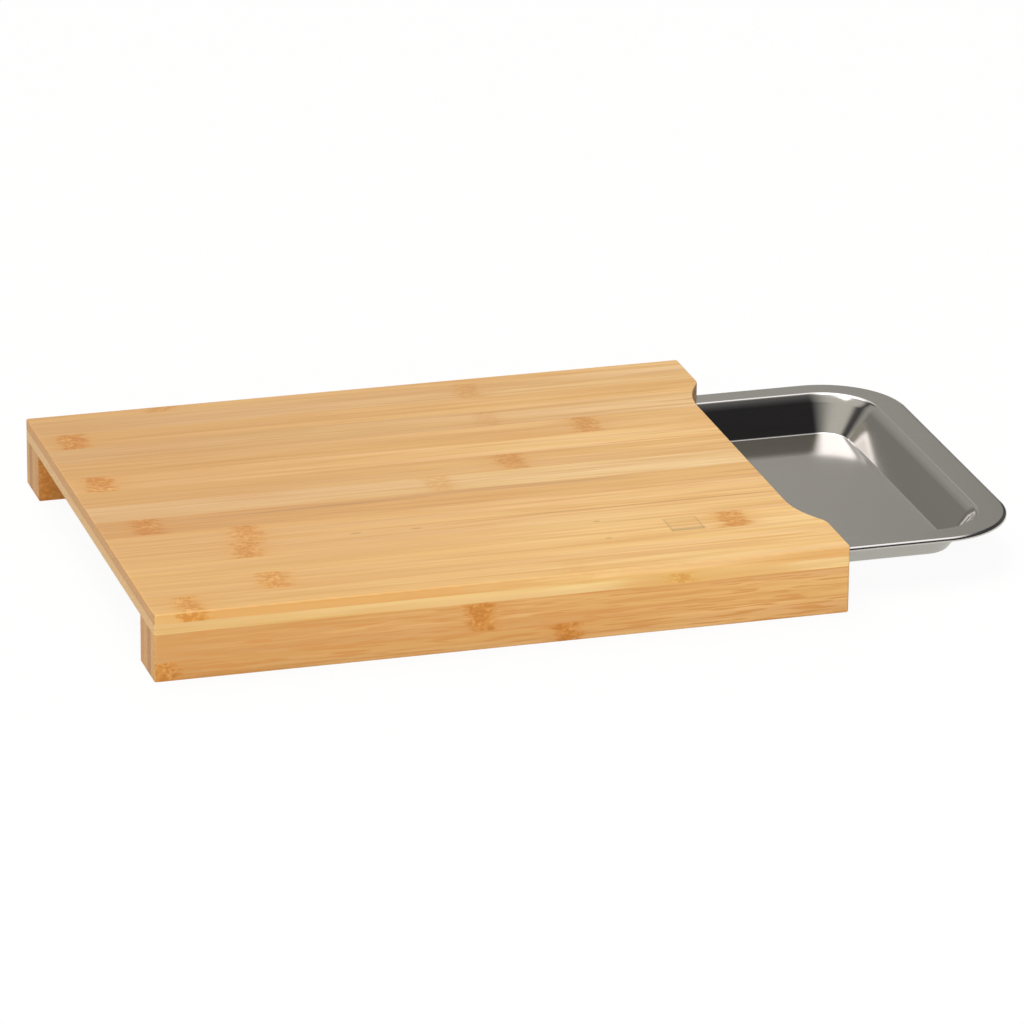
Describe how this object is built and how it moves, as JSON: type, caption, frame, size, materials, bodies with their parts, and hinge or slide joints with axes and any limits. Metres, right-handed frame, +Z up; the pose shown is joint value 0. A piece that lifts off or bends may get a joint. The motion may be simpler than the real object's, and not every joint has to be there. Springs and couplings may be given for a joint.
{
  "type": "cutting board with a sliding tray",
  "caption": "Rectangular two-layer bamboo cutting board on two side rails, with a finger notch in one end and a shallow steel tray that slides out on grooves in the rails.",
  "frame": {"origin": "on the surface that the rails stand on, below the middle of the board and the drawn-out tray taken together", "axes": "+Z up out of the cutting face; +X the way the tray pulls out, along the bamboo strips; -Y the front rail; the tray is drawn out 118.5 mm at rest"},
  "size_m": [0.5184, 0.32, 0.04],
  "materials": {
    "top_bamboo": "satin",
    "base_bamboo": "satin",
    "rail_bamboo": "satin",
    "brushed_tray_steel": "satin"
  },
  "bodies": {
    "board": {"back_rail_1_high": "rail_bamboo", "back_rail_1_low": "rail_bamboo", "back_rail_2_high": "rail_bamboo", "back_rail_2_low": "rail_bamboo", "back_rail_3_high": "rail_bamboo", "back_rail_3_low": "rail_bamboo", "back_rail_4_high": "rail_bamboo", "back_rail_4_low": "rail_bamboo", "base_strip_01": "base_bamboo", "base_strip_02": "base_bamboo", "base_strip_03": "base_bamboo", "base_strip_04": "base_bamboo", "base_strip_05": "base_bamboo", "base_strip_06": "base_bamboo", "base_strip_07": "base_bamboo", "base_strip_08": "base_bamboo", "base_strip_09": "base_bamboo", "base_strip_10": "base_bamboo", "base_strip_11": "base_bamboo", "base_strip_12": "base_bamboo", "base_strip_13": "base_bamboo", "base_strip_14": "base_bamboo", "front_rail_1_high": "rail_bamboo", "front_rail_1_low": "rail_bamboo", "front_rail_2_high": "rail_bamboo", "front_rail_2_low": "rail_bamboo", "front_rail_3_high": "rail_bamboo", "front_rail_3_low": "rail_bamboo", "front_rail_4_high": "rail_bamboo", "front_rail_4_low": "rail_bamboo", "top_strip_01": "top_bamboo", "top_strip_02": "top_bamboo", "top_strip_03": "top_bamboo", "top_strip_04": "top_bamboo", "top_strip_05": "top_bamboo", "top_strip_06": "top_bamboo", "top_strip_07": "top_bamboo", "top_strip_08": "top_bamboo", "top_strip_09": "top_bamboo", "top_strip_10": "top_bamboo", "top_strip_11": "top_bamboo", "top_strip_12": "top_bamboo", "top_strip_13": "top_bamboo", "top_strip_14": "top_bamboo"},
    "tray": {"tray": "brushed_tray_steel"}
  },
  "joints": [
    {"name": "tray_slide", "type": "slide", "parent": "board", "child": "tray", "axis": [1, 0, 0], "range_m": [-0.1195, 0.2065]}
  ]
}
